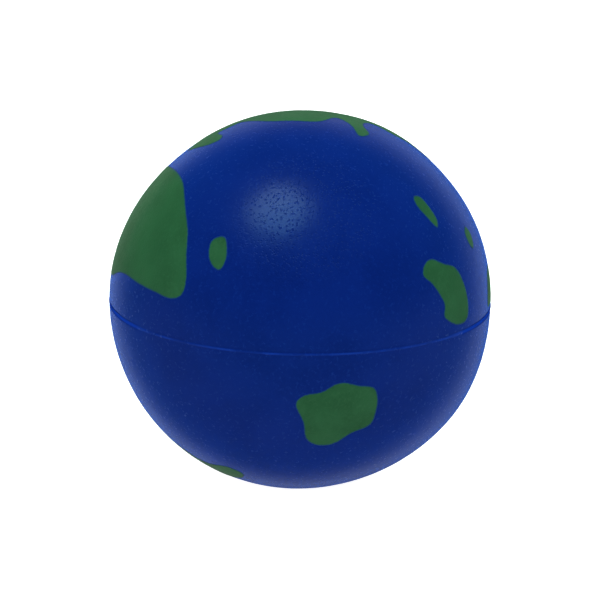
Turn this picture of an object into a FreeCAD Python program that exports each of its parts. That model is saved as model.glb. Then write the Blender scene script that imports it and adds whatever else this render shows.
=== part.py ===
import FreeCAD, Part
import math
import os

# Globe stress ball: a ball of soft foam with a tougher moulded skin, a blue coat over all of
# it, and the green lands of a simple world map printed on the coat.
# Millimetres and degrees. The origin is the ball's centre, and +Z is square to the parting
# plane of the two-part mould, so the parting line runs round the ball at Z = 0.

# Driving dimensions
BALL_DIAMETER = 70.0      # over the blue coat, away from the parting line
COAT_THICKNESS = 0.15     # sprayed blue coat
SKIN_THICKNESS = 1.2      # dense skin that the foam forms against the mould wall
LAND_THICKNESS = 0.08     # printed green film
BEAD_HEIGHT = 0.10        # flash left proud of the ball along the parting line
BEAD_HALF_WIDTH = 0.35

# How the printed map sits on the ball: turned about its own poles, then its north pole leaned
# away from the parting plane's normal, then turned about that normal.
MAP_SPIN = -160.0
MAP_LEAN = -62.0
MAP_TURN = 3.0

# Each land is cut from the film by a cone with its point at the ball's centre. These are the
# distances of the cone's two flat ends, as shares of the ball's radius.
CONE_NEAR_END = 0.45
CONE_FAR_END = 1.10

# Land outlines on the map, as (latitude, longitude), joined by one smooth closed curve
LANDS = {
    "africa": [
        (18, 24), (8.5, 29.5), (3, 31.5), (-8, 32), (-16, 31.5), (-24, 28.5), (-30, 25.5), (-33, 21),
        (-32, 17), (-28, 13), (-18.5, 6), (-10.5, 1), (-6, -3), (-1, -9), (13, -16), (25, -14), (33, -5),
        (34, 7), (28, 17),
    ],
    "madagascar": [
        (-22.5, 41), (-23.5, 43), (-27, 43), (-31, 41), (-32.5, 38), (-30.5, 36), (-26, 36), (-23, 38),
    ],
    "eurasia": [
        (29, 49), (25, 55), (22, 60), (21, 66), (20, 72), (22, 77), (26, 81), (23, 84), (18, 85.5), (14, 87),
        (16, 90), (24, 90), (29, 94), (26, 101), (26, 108), (24, 117), (38, 121), (50, 138), (58, 160),
        (67, 176), (72, 150), (76, 105), (71, 68), (66, 40), (69, 20), (59, 8), (51, 1), (43, -6), (40, 12),
        (38, 27), (33, 31), (24, 29), (21, 33), (18, 38), (18, 43), (21, 43.5), (26, 41), (28, 45),
    ],
    "australia": [
        (-29.5, 111), (-27, 110.5), (-24, 112), (-22, 118), (-20, 123), (-21, 129), (-24.5, 136),
        (-28, 139), (-32, 137), (-35, 131), (-35, 127), (-33.5, 126), (-31.5, 121), (-30.5, 115),
    ],
    "sumatra": [
        (-6, 103), (-5, 105), (-7, 109), (-11, 113), (-12.5, 113), (-12, 109), (-8, 103),
    ],
    "borneo": [
        (-2, 126), (-2, 128), (-5, 131), (-7, 131), (-7, 127), (-4, 125),
    ],
    "new_guinea": [
        (1, 146), (-6, 144), (-11, 147), (-13, 150), (-9, 153), (-4, 156), (1, 152),
    ],
    "antarctica": [
        (-76, 55), (-74, 69), (-73, 82), (-70, 91), (-68, 101), (-67, 111), (-65, 121), (-66, 130),
        (-69, 144), (-71, 153), (-77, 160), (-81, -179), (-86, -144), (-89, -90), (-85, 54), (-80, 52),
    ],
    "south_america": [
        (-42, -61), (-50, -64), (-57, -67), (-58, -73), (-53, -79), (-40, -77), (-18, -74), (-5, -82),
        (4, -78), (11, -72), (8, -60), (0, -50), (-6, -36), (-15, -40), (-24, -47), (-35, -56),
    ],
    "north_america": [
        (59, -162), (67, -165), (71, -155), (69, -130), (68, -108), (67, -94), (59, -93), (54, -82),
        (61, -76), (57, -62), (47, -57), (42, -70), (35, -76), (26, -80), (30, -89), (27, -97), (20, -95),
        (16, -88), (9, -81), (14, -94), (22, -106), (35, -121), (48, -124), (58, -138),
    ],
    "greenland": [
        (61, -46), (70, -53), (77, -68), (82, -50), (82, -25), (74, -20), (67, -34),
    ],
}

# Sizes that follow from those
BALL_RADIUS = BALL_DIAMETER / 2
SKIN_RADIUS = BALL_RADIUS - COAT_THICKNESS
CORE_RADIUS = SKIN_RADIUS - SKIN_THICKNESS

CENTRE = FreeCAD.Vector(0, 0, 0)
UP = FreeCAD.Vector(0, 0, 1)
ACROSS = FreeCAD.Vector(1, 0, 0)
MAP_ON_BALL = (
    FreeCAD.Rotation(UP, MAP_TURN)
    * FreeCAD.Rotation(ACROSS, MAP_LEAN)
    * FreeCAD.Rotation(UP, MAP_SPIN)
)


def direction(latitude, longitude):
    """The unit vector from the ball's centre through a place on the map."""
    lat = math.radians(latitude)
    lon = math.radians(longitude)
    on_map = FreeCAD.Vector(math.cos(lat) * math.cos(lon), math.cos(lat) * math.sin(lon), math.sin(lat))
    return MAP_ON_BALL.multVec(on_map)


def profile_point(radius, latitude):
    """A point of the ball's half section, which lies behind the ball in the YZ plane."""
    return FreeCAD.Rotation(ACROSS, latitude).multVec(FreeCAD.Vector(0, radius, 0))


def ball_with_bead(radius):
    """A solid ball of this radius with the parting-line bead standing round it."""
    edge = math.degrees(BEAD_HALF_WIDTH / radius)
    middle = (90 + edge) / 2
    bottom, top = profile_point(radius, -90), profile_point(radius, 90)
    under_bead, over_bead = profile_point(radius, -edge), profile_point(radius, edge)
    section = Part.Wire([
        Part.Arc(bottom, profile_point(radius, -middle), under_bead).toShape(),
        Part.Arc(under_bead, profile_point(radius + BEAD_HEIGHT, 0), over_bead).toShape(),
        Part.Arc(over_bead, profile_point(radius, middle), top).toShape(),
        Part.LineSegment(top, bottom).toShape(),
    ])
    return Part.Face(section).revolve(CENTRE, UP, 360)


def foam_core():
    """The soft foam that fills the ball."""
    return Part.makeSphere(CORE_RADIUS)


def moulded_skin():
    """The tough skin that closes round the foam, with the mould's flash bead on it."""
    return ball_with_bead(SKIN_RADIUS).cut(Part.makeSphere(CORE_RADIUS))


def blue_coat():
    """The blue coat, which covers the skin and follows its bead."""
    return ball_with_bead(BALL_RADIUS).cut(ball_with_bead(SKIN_RADIUS))


def printed_film():
    """One closed green film over the whole coat, from which the lands are cut."""
    return ball_with_bead(BALL_RADIUS + LAND_THICKNESS).cut(ball_with_bead(BALL_RADIUS))


def land_cone(outline):
    """A solid cone, cut flat at both ends, whose side passes through a land's outline."""
    rays = [direction(latitude, longitude) for latitude, longitude in outline]
    axis = sum(rays, FreeCAD.Vector())
    axis.normalize()
    ends = []
    for share in (CONE_NEAR_END, CONE_FAR_END):
        distance = share * BALL_RADIUS
        curve = Part.BSplineCurve()
        curve.interpolate(Points=[ray * (distance / ray.dot(axis)) for ray in rays], PeriodicFlag=True)
        ends.append(Part.Wire([curve.toShape()]))
    return Part.makeLoft(ends, True, True)


def export(shape, node):
    """Write one closed solid as its own file."""
    solids = shape.Solids
    if len(solids) != 1 or not solids[0].isValid():
        raise RuntimeError(f"{node} should be one valid solid")
    solids[0].exportStep(f"parts/{node}.step")
    print(f"{node}: {solids[0].Volume:.1f} cubic mm")


def main():
    os.makedirs("parts", exist_ok=True)
    export(foam_core(), "foam_core")
    export(moulded_skin(), "moulded_skin")
    export(blue_coat(), "blue_coat")
    film = printed_film()
    for name, outline in LANDS.items():
        export(film.common(land_cone(outline)), f"land_{name}")


main()
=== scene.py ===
import math

import bpy
import numpy as np
from mathutils import Matrix, Vector, noise
from mathutils.geometry import delaunay_2d_cdt


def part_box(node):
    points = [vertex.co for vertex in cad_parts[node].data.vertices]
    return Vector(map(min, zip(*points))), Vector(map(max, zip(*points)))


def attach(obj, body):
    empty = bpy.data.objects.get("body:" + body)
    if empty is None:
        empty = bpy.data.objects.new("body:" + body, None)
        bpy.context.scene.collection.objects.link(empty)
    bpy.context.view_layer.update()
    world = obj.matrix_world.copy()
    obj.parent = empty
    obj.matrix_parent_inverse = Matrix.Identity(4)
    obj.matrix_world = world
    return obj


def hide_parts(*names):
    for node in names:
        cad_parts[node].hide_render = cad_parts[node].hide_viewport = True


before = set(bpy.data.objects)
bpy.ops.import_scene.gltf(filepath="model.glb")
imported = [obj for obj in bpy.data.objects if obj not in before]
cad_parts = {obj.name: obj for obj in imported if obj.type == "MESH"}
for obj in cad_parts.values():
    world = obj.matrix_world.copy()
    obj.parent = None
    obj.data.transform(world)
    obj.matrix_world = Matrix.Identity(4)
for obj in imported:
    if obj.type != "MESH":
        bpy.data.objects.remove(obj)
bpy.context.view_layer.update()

MM = 0.001

# ---------------------------------------------------------------- sizes, from the frame

COAT_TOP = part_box("blue_coat")[1]
BALL_RADIUS = COAT_TOP.z
BEAD_HEIGHT = COAT_TOP.x - COAT_TOP.z
SKIN_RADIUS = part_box("moulded_skin")[1].z
CORE_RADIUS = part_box("foam_core")[1].z
LANDS = sorted(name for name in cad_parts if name.startswith("land_"))

# Shape of the parting line
BEAD_HALF_WIDTH = 0.26 * MM
CREASE_AT = 0.42 * MM         # from the middle of the bead to the crease on each side
CREASE_WIDTH = 0.12 * MM
CREASE_DEPTH = 0.022 * MM
WANDERS, FRAYS = 9, 60        # broad and fine changes along the line, to a ball radius
BEAD_SHARE = 0.50             # the bead's usual height, as a share of its full height
BEAD_WANDER, BEAD_FRAY = 0.35, 0.20     # how far the changes take it from that
CREASE_WANDER = 0.5           # and how far they take the crease from its usual depth
SEAM_REACH = 1.0 * MM         # the surface is plain further than this from the parting plane
SEAM_ROW = 0.11 * MM          # mesh rows at the parting line
PLAIN_ROW = 0.50 * MM         # and away from it

# The flash is heavy and dull at the ball's left and right ends
# Over this span the painted highlight on the flash band and the painted shade in its crease grow stronger
HEAVY_FLASH = (25.0, 33.0)    # mm from the middle, each way, over which its colour gets stronger
FLASH_START = 29.0 * MM       # from the middle, each way, to where it turns dull
FLASH_REACH = 0.5 * MM        # and how far that goes each side of the parting plane

# Soft places where the foam ball is a little out of round:
# (degrees round from +X, degrees above the parting plane, height in mm, spread in degrees)
LUMPS = [
    (179, 5, 0.22, 17), (162, 48, -0.33, 20), (29, 60, 0.34, 15), (108, 74, -0.06, 20),
    (-9, -29, 0.34, 18), (-36, -65, -0.20, 22), (7, 24, 0.28, 22), (186, -19, 0.04, 16),
    (90, 12, -0.25, 34), (60, -38, 0.20, 30), (130, -30, -0.15, 26), (268, 22, 0.08, 30),
    (-90, -74, -0.12, 24),
]

# Pebbled surface that the mould leaves, in the mesh: wave length and height
PEBBLES = [(2.6 * MM, 0.016 * MM), (1.1 * MM, 0.008 * MM)]

# Printed film
FILM_HEIGHT = 0.045 * MM      # above the coat
FILM_RIM_SUNK = 0.012 * MM    # the thin rim starts this far under the coat's surface
FILM_BURIED = 0.05 * MM       # its underside, sunk in the coat so that no gap shows
FILM_EDGE = 0.26 * MM         # width over which its edge rounds off
OUTLINE_STEP = 0.32 * MM
FILM_STEP = 0.50 * MM
FILM_RINGS = (0.3, 0.65, 1.0)           # rings of points inside the edge, as shares of that width
RING_CLEAR = 0.93             # a ring's point nearer the edge than this share of its place is left out
FILM_CLEAR = 0.1 * MM         # between the last ring and the other points
ROWS_OVER_BEAD = 9            # each side of the parting plane, a seam row apart
FILM_FACING = 0.2             # least cosine between a point over the bead and the film's middle
OFF_AXIS = (0.31, 0.17, 0.93)           # a direction that no land's middle lies along

# What lies under the coat
CORE_CELL = 1.6 * MM          # cells of the core's foam, where its skin has been left off
CORE_HOLLOW = 0.22 * MM       # how deep they are
CORE_GAP = 0.05 * MM          # between the core and the skin
SKIN_GAP = 0.02 * MM          # between the skin and the coat

# Squares along a side of the cube that each surface is made from
CORE_COUNT = 60
SKIN_COUNT, SKIN_INSIDE_COUNT = 56, 40
COAT_COUNT, COAT_INSIDE_COUNT = 124, 30


# ---------------------------------------------------------------- the ball's surface

def unit_from_degrees(azimuth, elevation):
    a, e = math.radians(azimuth), math.radians(elevation)
    return np.array([math.cos(a) * math.cos(e), math.sin(a) * math.cos(e), math.sin(e)])


def out_of_round(rays):
    """How far the soft ball stands out from a true sphere, along each unit ray."""
    height = np.zeros(len(rays))
    for azimuth, elevation, tall, spread in LUMPS:
        away = 1 - rays @ unit_from_degrees(azimuth, elevation)
        height += tall * MM * np.exp(-away / (1 - math.cos(math.radians(spread))))
    return height


def pebble(rays):
    """The fine unevenness of the moulded surface."""
    height = np.zeros(len(rays))
    for wave, tall in PEBBLES:
        scale = BALL_RADIUS / wave
        height += tall * np.array([noise.noise(Vector(ray) * scale) for ray in rays])
    return height


def seam(rays):
    """The bead of flash on the parting line, with a faint crease along each side of it."""
    height = np.zeros(len(rays))
    across = np.abs(rays[:, 2]) * BALL_RADIUS
    for index in np.nonzero(across < SEAM_REACH)[0]:
        x, y, _ = rays[index]
        wander = noise.noise(Vector((x * WANDERS, y * WANDERS, 0.5)))
        fray = noise.noise(Vector((x * FRAYS, y * FRAYS, 2.5)))
        tall = BEAD_HEIGHT * (BEAD_SHARE + BEAD_WANDER * wander + BEAD_FRAY * fray)
        gap = across[index]
        if gap < BEAD_HALF_WIDTH:
            height[index] += tall * (1 - (gap / BEAD_HALF_WIDTH) ** 2) ** 2
        groove = math.exp(-((gap - CREASE_AT) / CREASE_WIDTH) ** 2)
        height[index] -= CREASE_DEPTH * (1 + CREASE_WANDER * wander) * groove
    return height


def coat_radius(rays):
    return BALL_RADIUS + out_of_round(rays) + pebble(rays) + seam(rays)


# ---------------------------------------------------------------- meshes

def even_angles(count):
    return np.linspace(-math.pi / 4, math.pi / 4, count + 1)


def seam_angles(count):
    """Rows over a side of the cube, close together at the parting line."""
    edge = BALL_RADIUS * math.pi / 4
    places = np.linspace(-edge, edge, 8001)
    extra = 1 / SEAM_ROW - 1 / PLAIN_ROW
    density = 1 / PLAIN_ROW + extra * np.exp(-(places / SEAM_REACH) ** 4)
    total = np.concatenate([[0], np.cumsum((density[1:] + density[:-1]) / 2)])
    rows = np.interp(np.linspace(0, total[-1], count + 1), total, places)
    return rows / BALL_RADIUS


def cube_sphere(count, fine_seam=False):
    """Unit rays and quads of a sphere made from a cube's six sides."""
    flat = np.tan(even_angles(count))
    rows = np.tan(seam_angles(count)) if fine_seam else flat
    rays, quads, known = [], [], {}

    def corner(ray):
        ray = ray / np.linalg.norm(ray)
        key = tuple(np.round(ray, 7) + 0.0)
        if key not in known:
            known[key] = len(rays)
            rays.append(ray)
        return known[key]

    sides = []
    for turn in range(4):
        a = turn * math.pi / 2
        out = np.array([math.cos(a), math.sin(a), 0])
        along = np.array([-math.sin(a), math.cos(a), 0])
        sides.append((out, along, np.array([0, 0, 1.0]), rows))
    for way in (1.0, -1.0):
        sides.append((np.array([0, 0, way]), np.array([1.0, 0, 0]), np.array([0, way, 0]), flat))
    for out, along, up, heights in sides:
        grid = [[corner(out + s * along + t * up) for s in flat] for t in heights]
        for j in range(count):
            for i in range(count):
                quads.append((grid[j][i], grid[j][i + 1], grid[j + 1][i + 1], grid[j + 1][i]))
    return np.array(rays), quads


def make_piece(name, points, faces, node):
    """A smooth mesh object that stands for one CAD node."""
    mesh = bpy.data.meshes.new(name)
    mesh.from_pydata(points.tolist(), [], faces)
    mesh.validate()
    mesh.shade_smooth()
    piece = bpy.data.objects.new(name, mesh)
    bpy.context.scene.collection.objects.link(piece)
    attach(piece, "root")
    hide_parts(node)
    return piece


def shell(outer_rays, outer_radius, outer_quads, inner_rays, inner_radius, inner_quads):
    """Points and faces of a closed wall between two surfaces."""
    points = np.vstack([outer_rays * outer_radius[:, None], inner_rays * inner_radius[:, None]])
    first = len(outer_rays)
    inner = [tuple(first + corner for corner in reversed(quad)) for quad in inner_quads]
    return points, outer_quads + inner


# ---------------------------------------------------------------- the printed lands

def weld(mesh):
    """The mesh's separate points, and for each vertex the number of its point."""
    points, number_of, numbers = [], {}, []
    for vertex in mesh.vertices:
        key = tuple(round(c, 8) for c in vertex.co)
        if key not in number_of:
            number_of[key] = len(points)
            points.append(np.array(vertex.co))
        numbers.append(number_of[key])
    return points, numbers


def faces_outward(a, b, c):
    """Whether a face with these corners looks away from the ball's centre."""
    normal = np.cross(b - a, c - a)
    middle = a + b + c
    size = np.linalg.norm(normal) * np.linalg.norm(middle)
    return size > 0 and normal @ middle >= 0.5 * size


def open_edges(faces):
    """The directed edges that only one face has."""
    uses = {}
    for corners in faces:
        for start, end in zip(corners, corners[1:] + corners[:1]):
            edge = (min(start, end), max(start, end))
            uses.setdefault(edge, []).append((start, end))
    return [found[0] for found in uses.values() if len(found) == 1]


def land_outline(node):
    """The closed outline of a land, as unit rays in order, from the top face of its CAD node."""
    points, numbers = weld(node.data)
    faces = [[numbers[v] for v in polygon.vertices] for polygon in node.data.polygons]
    top = [corners for corners in faces if faces_outward(*(points[v] for v in corners[:3]))]
    following = dict(open_edges(top))
    loops = []
    while following:
        loop = [next(iter(following))]
        while loop[-1] in following:
            loop.append(following.pop(loop[-1]))
        loops.append(loop[:-1])
    longest = max(loops, key=len)
    rays = np.array([points[v] for v in longest])
    return rays / np.linalg.norm(rays, axis=1)[:, None]


def flatten(rays, axis, side, up):
    """Rays as distances from the axis along the ball, laid flat."""
    along = np.stack([rays @ side, rays @ up], axis=1)
    reach = np.linalg.norm(along, axis=1)
    angle = np.arctan2(reach, rays @ axis)
    return along * (BALL_RADIUS * angle / np.maximum(reach, 1e-12))[:, None]


def unflatten(places, axis, side, up):
    reach = np.linalg.norm(places, axis=1)
    angle = reach / BALL_RADIUS
    along = places / np.maximum(reach, 1e-12)[:, None]
    across = along[:, :1] * side + along[:, 1:] * up
    return np.cos(angle)[:, None] * axis + np.sin(angle)[:, None] * across


def resample(loop, step):
    closed = np.vstack([loop, loop[:1]])
    lengths = np.concatenate([[0], np.cumsum(np.linalg.norm(np.diff(closed, axis=0), axis=1))])
    count = max(12, int(round(lengths[-1] / step)))
    wanted = np.linspace(0, lengths[-1], count, endpoint=False)
    return np.stack([np.interp(wanted, lengths, closed[:, k]) for k in range(2)], axis=1)


def is_inside(places, loop):
    ends = np.roll(loop, -1, axis=0)
    inside = np.zeros(len(places), bool)
    for (ax, ay), (bx, by) in zip(loop, ends):
        if ay == by:
            continue
        crosses = (ay > places[:, 1]) != (by > places[:, 1])
        where = ax + (places[:, 1] - ay) * (bx - ax) / (by - ay)
        inside ^= crosses & (places[:, 0] < where)
    return inside


def distance_to(places, loop):
    """The least distance from each place to the loop."""
    ends = np.roll(loop, -1, axis=0)
    least = np.full(len(places), np.inf)
    for a, b in zip(loop, ends):
        run = b - a
        share = np.clip(((places - a) @ run) / (run @ run), 0, 1)
        gap = np.linalg.norm(places - a - share[:, None] * run, axis=1)
        least = np.minimum(least, gap)
    return least


def film_places(loop, axis, side, up):
    """Places for the film's inner points: rings inside its edge, a grid, and rows over the bead."""
    tangent = np.roll(loop, -1, axis=0) - np.roll(loop, 1, axis=0)
    inward = np.stack([-tangent[:, 1], tangent[:, 0]], axis=1)
    inward /= np.linalg.norm(inward, axis=1)[:, None]
    rings = []
    for share in FILM_RINGS:
        ring = loop + inward * FILM_EDGE * share
        rings.append(ring[distance_to(ring, loop) > RING_CLEAR * FILM_EDGE * share])
    low, high = loop.min(axis=0), loop.max(axis=0)
    rows = np.arange(low[1], high[1], FILM_STEP * math.sqrt(0.75))
    grid = []
    for index, y in enumerate(rows):
        start = low[0] + (index % 2) * FILM_STEP / 2
        grid += [(x, y) for x in np.arange(start, high[0], FILM_STEP)]
    grid = np.array(grid)
    above = unflatten(grid, axis, side, up)[:, 2] * BALL_RADIUS
    grid = grid[np.abs(above) > SEAM_REACH]
    over_bead = []
    for turn in np.arange(0, 2 * math.pi, FILM_STEP / BALL_RADIUS):
        for height in np.arange(-ROWS_OVER_BEAD, ROWS_OVER_BEAD + 1) * SEAM_ROW:
            level = height / BALL_RADIUS
            flat = math.sqrt(1 - level ** 2)
            over_bead.append((flat * math.cos(turn), flat * math.sin(turn), level))
    over_bead = np.array(over_bead)
    over_bead = flatten(over_bead[over_bead @ axis > FILM_FACING], axis, side, up)
    inner = np.vstack([grid, over_bead]) if len(over_bead) else grid
    inner = inner[is_inside(inner, loop)]
    inner = inner[distance_to(inner, loop) > FILM_EDGE + FILM_CLEAR]
    return np.vstack(rings + [inner])


def film_faces(top, first):
    """Faces of a closed film: its top, the same faces turned over below, and a wall round its edge."""
    bottom = [tuple(first + corner for corner in reversed(face)) for face in top]
    wall = [(end, start, first + start, first + end) for start, end in open_edges(top)]
    return top + bottom + wall


def add_land(name):
    """One printed land: a thin closed film with a rounded edge, lying on the coat."""
    outline = land_outline(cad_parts[name])
    axis = outline.sum(axis=0)
    axis /= np.linalg.norm(axis)
    side = np.cross(axis, OFF_AXIS)
    side /= np.linalg.norm(side)
    up = np.cross(axis, side)
    loop = resample(flatten(outline, axis, side, up), OUTLINE_STEP)
    area = loop[:, 0] @ np.roll(loop[:, 1], -1) - loop[:, 1] @ np.roll(loop[:, 0], -1)
    if area < 0:
        loop = loop[::-1]
    places = np.vstack([loop, film_places(loop, axis, side, up)])
    ring = [(k, (k + 1) % len(loop)) for k in range(len(loop))]
    found = delaunay_2d_cdt([Vector(p / MM) for p in places], ring, [], 1, 1e-6, False)
    flat = np.array([tuple(p) for p in found[0]]) * MM
    top = [tuple(face) for face in found[2]]
    rays = unflatten(flat, axis, side, up)
    edge = distance_to(flat, loop)
    rise = np.clip(edge / FILM_EDGE, 0, 1)
    rise = rise * (2 - rise)
    surface = coat_radius(rays)
    upper = rays * (surface - FILM_RIM_SUNK + (FILM_HEIGHT + FILM_RIM_SUNK) * rise)[:, None]
    lower = rays * (surface - FILM_BURIED)[:, None]
    faces = film_faces(top, len(rays))
    a, b, c = upper[list(top[0][:3])]
    if np.cross(b - a, c - a) @ a < 0:
        faces = [tuple(reversed(face)) for face in faces]
    piece_name = name.replace("land_", "") + "_print"
    piece = make_piece(piece_name, np.vstack([upper, lower]), faces, name)
    attribute = piece.data.attributes.new("edge_mm", "FLOAT", "POINT")
    attribute.data.foreach_set("value", np.concatenate([edge, np.zeros(len(rays))]) / MM)
    return piece


# ---------------------------------------------------------------- materials

class Nodes:
    """Short names for building the nodes of a material or a world."""

    def __init__(self, owner):
        owner.use_nodes = True
        self.owner = owner
        self.tree = owner.node_tree
        self.tree.nodes.clear()
        self.place = self.add("ShaderNodeTexCoord")

    def add(self, kind, **settings):
        node = self.tree.nodes.new(kind)
        for key, value in settings.items():
            setattr(node, key, value)
        return node

    def set(self, socket, value):
        """Links a node's output to the socket, or sets the socket to a plain value."""
        if isinstance(value, bpy.types.NodeSocket):
            self.tree.links.new(value, socket)
        else:
            socket.default_value = value

    def math(self, operation, first, second=0.0, third=0.0):
        node = self.add("ShaderNodeMath", operation=operation)
        for socket, value in zip(node.inputs, (first, second, third)):
            self.set(socket, value)
        return node.outputs[0]

    def noise(self, scale, detail=3.0, roughness=0.55, distortion=0.0):
        node = self.add("ShaderNodeTexNoise")
        self.set(node.inputs["Vector"], self.mm)
        node.inputs["Scale"].default_value = scale
        node.inputs["Detail"].default_value = detail
        node.inputs["Roughness"].default_value = roughness
        node.inputs["Distortion"].default_value = distortion
        return node.outputs[0]

    def cells(self, scale, feature="F1", randomness=1.0):
        node = self.add("ShaderNodeTexVoronoi", feature=feature)
        self.set(node.inputs["Vector"], self.mm)
        node.inputs["Scale"].default_value = scale
        node.inputs["Randomness"].default_value = randomness
        return node.outputs["Distance"]

    def ramp(self, value, low, high, to_low=0.0, to_high=1.0):
        node = self.add("ShaderNodeMapRange", interpolation_type="SMOOTHSTEP")
        for socket, number in zip(node.inputs, (value, low, high, to_low, to_high)):
            self.set(socket, number)
        return node.outputs[0]

    def mix(self, share, first, second):
        node = self.add("ShaderNodeMix", data_type="RGBA")
        self.set(node.inputs["Factor"], share)
        self.set(node.inputs[6], first)
        self.set(node.inputs[7], second)
        return node.outputs[2]

    def bump(self, height, distance, strength=1.0, normal=None):
        node = self.add("ShaderNodeBump")
        node.inputs["Strength"].default_value = strength
        node.inputs["Distance"].default_value = distance
        self.set(node.inputs["Height"], height)
        if normal is not None:
            self.set(node.inputs["Normal"], normal)
        return node.outputs[0]

    def finish(self, color, roughness, normal, **sockets):
        """Ends a material in one shader, whose other sockets are given by name."""
        shader = self.add("ShaderNodeBsdfPrincipled")
        self.set(shader.inputs["Base Color"], color)
        self.set(shader.inputs["Roughness"], roughness)
        self.set(shader.inputs["Normal"], normal)
        for name, value in sockets.items():
            self.set(shader.inputs[name.replace("_", " ")], value)
        output = self.add("ShaderNodeOutputMaterial")
        self.tree.links.new(shader.outputs[0], output.inputs["Surface"])
        return self.owner


def new_material(name):
    """The nodes of a new material, with `mm` as each place's own coordinates in millimetres."""
    nodes = Nodes(bpy.data.materials.new(name))
    scale = nodes.add("ShaderNodeVectorMath", operation="SCALE")
    nodes.set(scale.inputs[0], nodes.place.outputs["Object"])
    scale.inputs["Scale"].default_value = 1 / MM
    nodes.mm = scale.outputs[0]
    return nodes


def rgb(red, green, blue):
    return (red, green, blue, 1.0)


# Blue coat
BLUE = rgb(0.0016, 0.0100, 0.110)
# BLUE_DEEP is both the paint's darker clouds and the painted shade in its pits
BLUE_DEEP = rgb(0.0012, 0.0082, 0.095)
BLUE_LIGHT = rgb(0.0020, 0.0138, 0.136)
# Paler blue on the parting line's ridge and flash band: a painted highlight where light catches them
LIT_BEAD_BLUE = rgb(0.0036, 0.0240, 0.230)
# Dark blue in the crease above the parting line: painted shade
CREASE_SHADE_BLUE = rgb(0.0010, 0.0040, 0.050)
BLUE_SHEEN = rgb(0.02, 0.19, 1.00)
BLUE_GLOSS = rgb(0.046, 0.135, 0.205)
BLUE_SHEEN_WEIGHT, BLUE_SHEEN_ROUGHNESS = 0.42, 0.38
BLUE_LEVEL = 0.5                # specular level
BLUE_ROUGHNESS = (0.21, 0.28)
PIT_ROUGHNESS = 0.2             # added at the bottom of a pit

# Green print
GREEN = rgb(0.0152, 0.0655, 0.0272)
# GREEN_DEEP is both the print's darker clouds and the painted shade in its pits
GREEN_DEEP = rgb(0.0120, 0.0540, 0.0220)
GREEN_LIGHT = rgb(0.0205, 0.0770, 0.0330)
GREEN_SHEEN = rgb(0.30, 1.00, 0.40)
GREEN_GLOSS = rgb(0.07, 0.14, 0.09)
GREEN_SHEEN_WEIGHT, GREEN_SHEEN_ROUGHNESS = 0.04, 0.40
GREEN_LEVEL = 0.18
GREEN_ROUGHNESS = (0.32, 0.42)
THIN_INK = (0.20, 0.52)         # mm in from the print's edge over which the ink covers the blue

PAINT_IOR = 1.45

# Foam under the paint: cut foam in the core and close foam in the skin, in cells to a millimetre
# The SHADE colours darken the middle of each cell's hollow: painted shade
CORE_PALE, CORE_SHADE = rgb(0.78, 0.70, 0.50), rgb(0.46, 0.38, 0.24)
CORE_CELLS, CORE_CELL_DEPTH = 0.9, 0.25 * MM
SKIN_PALE, SKIN_SHADE = rgb(0.70, 0.62, 0.44), rgb(0.50, 0.42, 0.28)
SKIN_CELLS, SKIN_CELL_DEPTH = 2.6, 0.05 * MM

# Texture of both paints: how many to a millimetre, and how deep
WRINKLES, WRINKLE_DEPTH = 1.3, 0.004 * MM
GRAINS, GRAIN_DEPTH = 1.7, 0.018 * MM
PITS, PIT_DEPTH = 1.9, 0.062 * MM
PIT_EDGE = (0.08, 0.38)         # from the middle of a pit to its edge, as shares of a cell
SMOOTH_PATCHES = 0.16

# The most pitted place of the paint
PITTED_AT = (-86.0, 42.0)       # degrees round from +X, degrees above the parting plane
PITTED_REACH = (7.0, 15.0)      # mm from there over which the pits get shallow
PITS_FILLED = 0.93              # how much shallower they are beyond that


def paint_grain(nodes):
    """The paint's skin: wrinkles and small pits. Gives a normal, and the grain and pits from 0 to 1."""
    away = nodes.add("ShaderNodeVectorMath", operation="DISTANCE")
    nodes.set(away.inputs[0], nodes.mm)
    away.inputs[1].default_value = unit_from_degrees(*PITTED_AT) * BALL_RADIUS / MM
    smooth = nodes.ramp(away.outputs["Value"], *PITTED_REACH, 0.0, PITS_FILLED)
    patches = nodes.ramp(nodes.noise(SMOOTH_PATCHES, detail=2.0), 0.40, 0.60, 0.0, 0.5)
    wrinkle = nodes.ramp(nodes.cells(WRINKLES, feature="DISTANCE_TO_EDGE"), 0.0, 0.16)
    grain = nodes.noise(GRAINS, detail=4.0, roughness=0.6, distortion=0.6)
    pits = nodes.ramp(nodes.cells(PITS), *PIT_EDGE)
    pits = nodes.math("MAXIMUM", pits, nodes.math("MAXIMUM", smooth, patches))
    normal = nodes.bump(wrinkle, WRINKLE_DEPTH, 0.8)
    normal = nodes.bump(grain, GRAIN_DEPTH, 0.8, normal)
    normal = nodes.bump(pits, PIT_DEPTH, 1.0, normal)
    return normal, grain, pits


def cloudy(nodes, cloud, grain, pits, base, deep, light, grain_share):
    """A paint's colour: broad clouds, paler on the grain, and darker in the pits, which is painted shade.
    """
    color = nodes.mix(nodes.ramp(cloud, 0.35, 0.65), deep, base)
    color = nodes.mix(nodes.ramp(grain, 0.45, 0.75, 0.0, grain_share), color, light)
    # Painted shade: darker colour at the bottom of each pit
    return nodes.mix(nodes.ramp(pits, 0.0, 1.0, 0.4, 0.0), color, deep)


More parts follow.
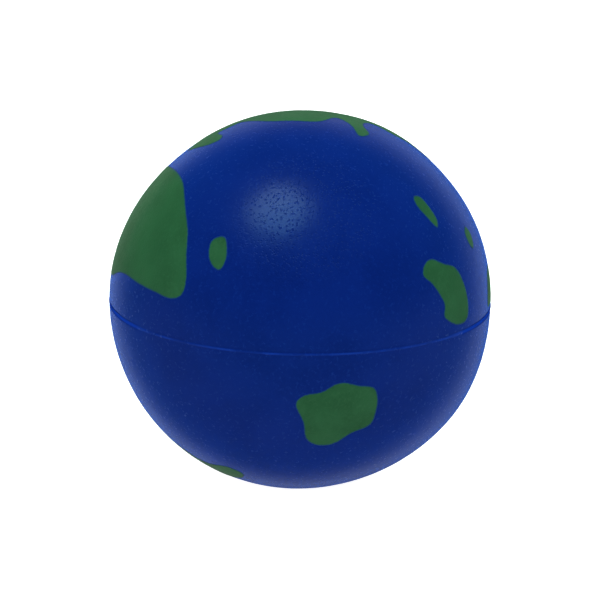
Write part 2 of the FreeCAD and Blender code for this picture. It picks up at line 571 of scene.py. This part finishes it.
def draw_seam(nodes, color):
    """The colour with the parting line on it: a paler ridge all the way round, a painted highlight broken
    up by noise, and on the heavy flash a brighter band, also a painted highlight, with a dark crease above
    it, which is painted shade."""
    separate = nodes.add("ShaderNodeSeparateXYZ")
    nodes.set(separate.inputs[0], nodes.mm)
    height = separate.outputs["Z"]
    across = nodes.math("ABSOLUTE", height)
    heavy = nodes.ramp(nodes.math("ABSOLUTE", separate.outputs["X"]), *HEAVY_FLASH)
    crease = CREASE_AT / MM
    # Painted highlight: a paler line along the ridge, patchy along its length
    on_ridge = nodes.ramp(across, 0.08, 0.26, 1.0, 0.0)
    patchy_highlight = nodes.ramp(nodes.noise(0.25, detail=3.0), 0.38, 0.62, 0.15, 0.65)
    color = nodes.mix(nodes.math("MULTIPLY", on_ridge, patchy_highlight), color, LIT_BEAD_BLUE)
    # Painted highlight: the flash band is brighter blue where its faces catch the light
    on_bead = nodes.ramp(across, crease - 0.10, crease + 0.02, 1.0, 0.0)
    color = nodes.mix(nodes.math("MULTIPLY", on_bead, heavy), color, LIT_BEAD_BLUE)
    # Painted shade: a dark line in the crease above the bead, strongest on the heavy flash
    from_crease = nodes.math("ABSOLUTE", nodes.math("SUBTRACT", height, crease))
    in_crease = nodes.ramp(from_crease, 0.04, 0.16, 1.0, 0.0)
    crease_shade = nodes.math("MULTIPLY_ADD", heavy, 0.75, 0.12)
    return nodes.mix(nodes.math("MULTIPLY", in_crease, crease_shade), color, CREASE_SHADE_BLUE)


def blue_paint(name, sheen, level):
    nodes = new_material(name)
    normal, grain, pits = paint_grain(nodes)
    cloud = nodes.noise(0.09, detail=4.0)
    color = draw_seam(nodes, cloudy(nodes, cloud, grain, pits, BLUE, BLUE_DEEP, BLUE_LIGHT, 0.5))
    roughness = nodes.ramp(grain, 0.3, 0.7, *BLUE_ROUGHNESS)
    roughness = nodes.math("ADD", roughness, nodes.ramp(pits, 0.0, 1.0, PIT_ROUGHNESS, 0.0))
    return nodes.finish(
        color, roughness, normal, IOR=PAINT_IOR, Specular_Tint=BLUE_GLOSS, Specular_IOR_Level=level,
        Sheen_Weight=sheen, Sheen_Roughness=BLUE_SHEEN_ROUGHNESS, Sheen_Tint=BLUE_SHEEN,
    )


def green_paint():
    nodes = new_material("green_paint")
    normal, grain, pits = paint_grain(nodes)
    cloud = nodes.noise(0.16, detail=4.0)
    color = cloudy(nodes, cloud, grain, pits, GREEN, GREEN_DEEP, GREEN_LIGHT, 0.6)
    edge = nodes.add("ShaderNodeAttribute", attribute_name="edge_mm")
    ragged = nodes.math("MULTIPLY_ADD", grain, 0.3, edge.outputs["Fac"])
    color = nodes.mix(nodes.ramp(ragged, *THIN_INK, 1.0, 0.0), color, BLUE)
    roughness = nodes.ramp(grain, 0.3, 0.7, *GREEN_ROUGHNESS)
    return nodes.finish(
        color, roughness, normal, IOR=PAINT_IOR, Specular_Tint=GREEN_GLOSS, Specular_IOR_Level=GREEN_LEVEL,
        Sheen_Weight=GREEN_SHEEN_WEIGHT, Sheen_Roughness=GREEN_SHEEN_ROUGHNESS, Sheen_Tint=GREEN_SHEEN,
    )


def foam(name, pale, shade, cell, depth):
    """Cut or moulded foam: open cells of one size, with painted shade darkening their hollows."""
    nodes = new_material(name)
    walls = nodes.ramp(nodes.cells(cell, feature="DISTANCE_TO_EDGE"), 0.02, 0.16)
    small = nodes.noise(cell * 3, detail=4.0)
    # Painted shade: the shade colour fills the middle of each cell, where its hollow is
    color = nodes.mix(walls, pale, shade)
    color = nodes.mix(nodes.ramp(small, 0.4, 0.7, 0.0, 0.4), color, pale)
    normal = nodes.bump(walls, -depth, 0.9)
    normal = nodes.bump(small, depth / 4, 0.6, normal)
    return nodes.finish(color, nodes.ramp(small, 0.3, 0.7, 0.8, 0.95), normal)


# ---------------------------------------------------------------- the pieces

def add_core():
    rays, quads = cube_sphere(CORE_COUNT)
    scale = CORE_RADIUS / CORE_CELL
    cell = np.array([noise.voronoi(Vector(ray) * scale)[0][0] for ray in rays])
    hollow = CORE_HOLLOW * (1 - np.clip(cell * 1.8, 0, 1))
    radius = CORE_RADIUS - CORE_GAP + out_of_round(rays) - hollow
    core = make_piece("foam_core_cells", rays * radius[:, None], quads, "foam_core")
    core.data.materials.append(foam("core_foam", CORE_PALE, CORE_SHADE, CORE_CELLS, CORE_CELL_DEPTH))


def add_skin():
    rays, quads = cube_sphere(SKIN_COUNT, fine_seam=True)
    inner_rays, inner_quads = cube_sphere(SKIN_INSIDE_COUNT)
    outer = SKIN_RADIUS - SKIN_GAP + out_of_round(rays) + seam(rays)
    inner = CORE_RADIUS + out_of_round(inner_rays)
    points, faces = shell(rays, outer, quads, inner_rays, inner, inner_quads)
    skin = make_piece("moulded_skin_wall", points, faces, "moulded_skin")
    skin.data.materials.append(foam("skin_foam", SKIN_PALE, SKIN_SHADE, SKIN_CELLS, SKIN_CELL_DEPTH))


def add_coat():
    """The blue coat, whose faces on the heavy flash have a dull paint of their own."""
    rays, quads = cube_sphere(COAT_COUNT, fine_seam=True)
    inner_rays, inner_quads = cube_sphere(COAT_INSIDE_COUNT)
    inner = SKIN_RADIUS + out_of_round(inner_rays)
    points, faces = shell(rays, coat_radius(rays), quads, inner_rays, inner, inner_quads)
    coat = make_piece("blue_coat_skin", points, faces, "blue_coat")
    coat.data.materials.append(blue_paint("blue_paint", BLUE_SHEEN_WEIGHT, BLUE_LEVEL))
    coat.data.materials.append(blue_paint("blue_flash", 0.0, 0.0))
    for face in coat.data.polygons:
        middle = face.center
        if abs(middle.z) < FLASH_REACH and abs(middle.x) > FLASH_START and middle.length > SKIN_RADIUS:
            face.material_index = 1
    return coat


# ---------------------------------------------------------------- camera, floor and light

CAMERA_AWAY = 16 * BALL_RADIUS
CAMERA_ELEVATION = 15.8         # degrees above the parting plane
CAMERA_ROLL = -0.88             # degrees
CAMERA_ASIDE = (-0.04 * MM, -0.03 * MM, 0)      # along the camera's right and up, so a little left and down
BALL_IN_FRAME = 0.633           # the ball's width as a share of the picture's
SENSOR = 36.0                   # mm

FLOOR_HALF_SIZE = 5.0           # m
FLOOR_DARK, FLOOR_PALE = rgb(0.42, 0.42, 0.42), rgb(0.45, 0.45, 0.45)
# The table glows by itself, painted light with no lamp under it, which lights the ball from below and
# washes out its shadow
FLOOR_GLOW = 1.00               # light through the translucent table

GLOSS_BEHIND = 0.31             # brightness of the tent, which the paint reflects at the ball's rim
TENT_LEAN = Vector((0.07, 0, 0.04))             # the tent stands a little to the right, and high
# Cosines of the angle from the camera's side, where -1 is straight behind the ball
TENT_EDGE = (-0.95, -0.44)      # the tent fades out over these
TENT_MIDDLE = (-1.0, -0.88)     # and in over these, from its dark middle

SOFTBOX_AT = (-0.20, -0.33, 0.92)
SOFTBOX_SIZE = 0.56             # m
SOFTBOX_WATTS = 10.8
# Soft lights that are too broad to show in the gloss: (where from, width in degrees, strength, colour)
FILLS = {
    "sky": ((0, 0, 1), 120, 6.2, (0.88, 1.10, 1.0)),
    "front": ((-0.1, -1, 0.25), 120, 0.2, (1, 0.9, 1)),
}


def camera_direction():
    elevation = math.radians(CAMERA_ELEVATION)
    return Vector((0, -math.cos(elevation), math.sin(elevation)))


def add_camera():
    data = bpy.data.cameras.new("camera")
    camera = bpy.data.objects.new("camera", data)
    bpy.context.scene.collection.objects.link(camera)
    back = camera_direction()
    turn = (-back).to_track_quat("-Z", "Y").to_matrix().to_4x4()
    camera.location = back * CAMERA_AWAY + turn @ Vector(CAMERA_ASIDE)
    roll = Matrix.Rotation(math.radians(-CAMERA_ROLL), 4, "Z")
    camera.matrix_world = Matrix.Translation(camera.location) @ turn @ roll
    limb = BALL_RADIUS / math.sqrt(CAMERA_AWAY ** 2 - BALL_RADIUS ** 2)
    data.sensor_width = SENSOR
    data.lens = SENSOR * BALL_IN_FRAME / (2 * limb)
    data.clip_start = 0.01
    data.clip_end = 20.0
    bpy.context.scene.camera = camera


def add_floor(ball):
    """A plain pale table that the ball stands on. It glows white, painted light that also lights the ball
    from below and washes out its shadow.
    """
    size = FLOOR_HALF_SIZE
    low = min(vertex.co.z for vertex in ball.data.vertices)
    mesh = bpy.data.meshes.new("floor")
    corners = [(-size, -size, low), (size, -size, low), (size, size, low), (-size, size, low)]
    mesh.from_pydata(corners, [], [(0, 1, 2, 3)])
    floor = bpy.data.objects.new("floor", mesh)
    bpy.context.scene.collection.objects.link(floor)
    nodes = new_material("pale_floor")
    grain = nodes.noise(0.4, detail=4.0)
    color = nodes.mix(grain, FLOOR_DARK, FLOOR_PALE)
    normal = nodes.bump(grain, 0.01 * MM, 0.3)
    # Painted light: the table glows white
    paint = nodes.finish(color, 0.8, normal, Emission_Color=rgb(1, 1, 1), Emission_Strength=FLOOR_GLOW)
    floor.data.materials.append(paint)
    floor.visible_glossy = False


def add_light(name, kind, where):
    data = bpy.data.lights.new(name, kind)
    light = bpy.data.objects.new(name, data)
    bpy.context.scene.collection.objects.link(light)
    light.location = where
    light.rotation_euler = (-Vector(where)).to_track_quat("-Z", "Y").to_euler()
    return light


def add_world():
    """A light tent round the ball, lit only behind it and open towards the camera."""
    world = bpy.data.worlds.new("light_tent")
    bpy.context.scene.world = world
    nodes = Nodes(world)
    towards = nodes.add("ShaderNodeVectorMath", operation="DOT_PRODUCT")
    nodes.set(towards.inputs[0], nodes.place.outputs["Generated"])
    towards.inputs[1].default_value = (camera_direction() - TENT_LEAN).normalized()
    behind = nodes.ramp(towards.outputs["Value"], *TENT_EDGE, GLOSS_BEHIND, 0.0)
    tent = nodes.math("MULTIPLY", behind, nodes.ramp(towards.outputs["Value"], *TENT_MIDDLE))
    path = nodes.add("ShaderNodeLightPath")
    strength = nodes.mix(path.outputs["Is Camera Ray"], tent, rgb(1, 1, 1))
    background = nodes.add("ShaderNodeBackground")
    nodes.set(background.inputs["Color"], strength)
    output = nodes.add("ShaderNodeOutputWorld")
    nodes.set(output.inputs["Surface"], background.outputs[0])


def add_lights():
    """Broad fills that only the paint's colour takes, and a softbox that only its gloss takes."""
    add_world()
    for name, (where, width, strength, color) in FILLS.items():
        fill = add_light(name, "SUN", where)
        fill.data.angle = math.radians(width)
        fill.data.energy = strength
        fill.data.color = color
        fill.data.cycles.use_multiple_importance_sampling = False
        fill.visible_glossy = False
    softbox = add_light("softbox", "AREA", SOFTBOX_AT)
    softbox.data.shape = "DISK"
    softbox.data.size = SOFTBOX_SIZE
    softbox.data.energy = SOFTBOX_WATTS
    softbox.visible_diffuse = False


def main():
    add_camera()
    add_core()
    add_skin()
    coat = add_coat()
    green = green_paint()
    for name in LANDS:
        add_land(name).data.materials.append(green)
    add_floor(coat)
    add_lights()
    bpy.context.scene.view_settings.view_transform = "Standard"


main()
